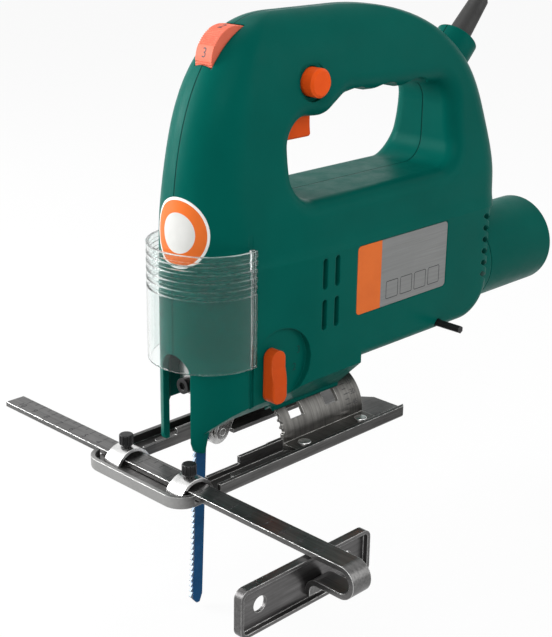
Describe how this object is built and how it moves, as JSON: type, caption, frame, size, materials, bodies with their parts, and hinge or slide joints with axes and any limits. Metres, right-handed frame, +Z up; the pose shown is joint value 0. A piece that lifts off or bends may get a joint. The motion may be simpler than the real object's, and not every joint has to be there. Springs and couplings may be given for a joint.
{
  "type": "jigsaw power tool",
  "caption": "Corded jigsaw with an open D-handle, tilting sole, parallel guide, clear guard, orbit lever and a dust spout at the rear.",
  "frame": {"origin": "on the sole's underside, on the median plane, below the centre line of the guide bar", "axes": "+X to the rear, +Z up, and -Y to the side with the orbit lever, the lock button and the fence"},
  "size_m": [0.3752, 0.2925, 0.3005],
  "materials": {
    "green_plastic": "moulded satin",
    "orange_plastic": "moulded satin",
    "dial_plastic": "moulded matt",
    "clear_plastic": "clear polished",
    "black_plastic": "moulded matt",
    "black_rubber": "matt",
    "sheet_steel": "stamped, zinc plated",
    "dark_steel": "blackened",
    "bright_steel": "machined",
    "blade_paint": "coloured blade",
    "core_steel": "laminated",
    "copper": "enamelled wire",
    "carbon": "pressed",
    "bronze": "sintered"
  },
  "bodies": {
    "body": {"housing_left": "green_plastic", "housing_right": "green_plastic", "housing_screws": "dark_steel", "gear_plate": "sheet_steel", "front_bearing": "bright_steel", "rear_bearing": "bright_steel", "stator_core": "core_steel", "field_coils": "copper", "brush_holders": "black_plastic", "carbon_brushes": "carbon", "switch_body": "black_plastic", "speed_board": "black_plastic", "gear_shaft": "bright_steel", "carrier_pin": "bright_steel", "rocker_pin": "bright_steel", "bevel_shoe": "sheet_steel", "bevel_bolts": "dark_steel", "cord_sleeve": "black_rubber", "cord": "black_rubber", "cord_coil": "black_rubber", "cord_tie": "black_rubber", "plug": "black_rubber", "plug_pins": "bright_steel"},
    "base": {"sole_plate": "sheet_steel", "saddle": "sheet_steel", "sole_rivets": "bright_steel", "guide_clips": "bright_steel"},
    "guide": {"guide_bar": "sheet_steel", "fence_plate": "sheet_steel"},
    "guide_screw_left": {"guide_screw_left": "black_plastic"},
    "guide_screw_right": {"guide_screw_right": "black_plastic"},
    "guard": {"guard": "clear_plastic"},
    "trigger": {"trigger": "orange_plastic"},
    "lock_button": {"lock_button": "orange_plastic"},
    "speed_dial": {"speed_dial": "dial_plastic"},
    "orbit_lever": {"orbit_lever": "orange_plastic", "orbit_shaft": "bright_steel"},
    "armature": {"armature_shaft": "bright_steel", "armature_core": "core_steel", "armature_winding": "copper", "commutator": "copper", "fan": "black_plastic"},
    "gear": {"drive_gear": "bright_steel", "crank_pin": "bright_steel"},
    "carrier": {"plunger_carrier": "sheet_steel", "plunger_bushings": "bronze"},
    "plunger": {"plunger": "bright_steel", "yoke_slider": "bronze", "blade_clamp": "bright_steel", "clamp_screws": "dark_steel", "blade": "blade_paint"},
    "rocker": {"rocker": "sheet_steel", "roller_pin": "bright_steel"},
    "roller": {"roller": "bright_steel"},
    "spout": {"dust_spout": "green_plastic"},
    "hex_key": {"hex_key": "dark_steel"}
  },
  "joints": [
    {"name": "bevel_tilt", "type": "hinge", "parent": "body", "child": "base", "pos_m": [0, 0, 0.005], "axis": [1, 0, 0], "range_deg": [-45, 45]},
    {"name": "guide_slide", "type": "slide", "parent": "base", "child": "guide", "axis": [0, 1, 0], "range_m": [-0.055, 0.055]},
    {"name": "guide_screw_left_turn", "type": "hinge", "parent": "base", "child": "guide_screw_left", "pos_m": [0, -0.0214, 0.0107], "axis": [0, 0, 1], "range_deg": [-360, 360]},
    {"name": "guide_screw_right_turn", "type": "hinge", "parent": "base", "child": "guide_screw_right", "pos_m": [0, 0.0214, 0.0107], "axis": [0, 0, 1], "range_deg": [-360, 360]},
    {"name": "guard_slide", "type": "slide", "parent": "body", "child": "guard", "axis": [0, 0, 1], "range_m": [-0.017, 0.004]},
    {"name": "trigger_press", "type": "slide", "parent": "body", "child": "trigger", "axis": [0, 0, 1], "range_m": [0, 0.005], "stiffness_N_per_m": 600},
    {"name": "lock_press", "type": "slide", "parent": "body", "child": "lock_button", "axis": [0, 1, 0], "range_m": [0, 0.0035], "stiffness_N_per_m": 500},
    {"name": "dial_turn", "type": "hinge", "parent": "body", "child": "speed_dial", "pos_m": [0.0435, 0, 0.1825], "axis": [0, 1, 0], "range_deg": [0, 270]},
    {"name": "orbit_turn", "type": "hinge", "parent": "body", "child": "orbit_lever", "pos_m": [0.045, -0.0272, 0.0535], "axis": [0, -1, 0], "range_deg": [0, 60]},
    {"name": "armature_spin", "type": "hinge", "parent": "body", "child": "armature", "pos_m": [0.118, 0, 0.07275], "axis": [1, 0, 0], "continuous": true},
    {"name": "gear_spin", "type": "hinge", "parent": "body", "child": "gear", "pos_m": [0.049, 0, 0.093], "axis": [1, 0, 0], "continuous": true},
    {"name": "carrier_swing", "type": "hinge", "parent": "body", "child": "carrier", "pos_m": [0.031, 0, 0.1245], "axis": [0, 1, 0], "range_deg": [0, 0.8]},
    {"name": "plunger_stroke", "type": "slide", "parent": "carrier", "child": "plunger", "axis": [0, 0, 1], "range_m": [0, 0.018]},
    {"name": "rocker_swing", "type": "hinge", "parent": "body", "child": "rocker", "pos_m": [0.046, 0, 0.033], "axis": [0, 1, 0], "range_deg": [0, 4.5]},
    {"name": "roller_spin", "type": "hinge", "parent": "rocker", "child": "roller", "pos_m": [0.03532, 0, 0.013], "axis": [0, 1, 0], "continuous": true},
    {"name": "spout_pull", "type": "slide", "parent": "body", "child": "spout", "axis": [1, 0, 0], "range_m": [0, 0.03]},
    {"name": "hex_key_pull", "type": "slide", "parent": "body", "child": "hex_key", "axis": [0, 1, 0], "range_m": [0, 0.075]}
  ],
  "couplings": [
    {"joint": "gear_spin", "follows": "armature_spin", "ratio": -0.18421},
    {"joint": "rocker_swing", "follows": "carrier_swing", "ratio": 5.575}
  ]
}
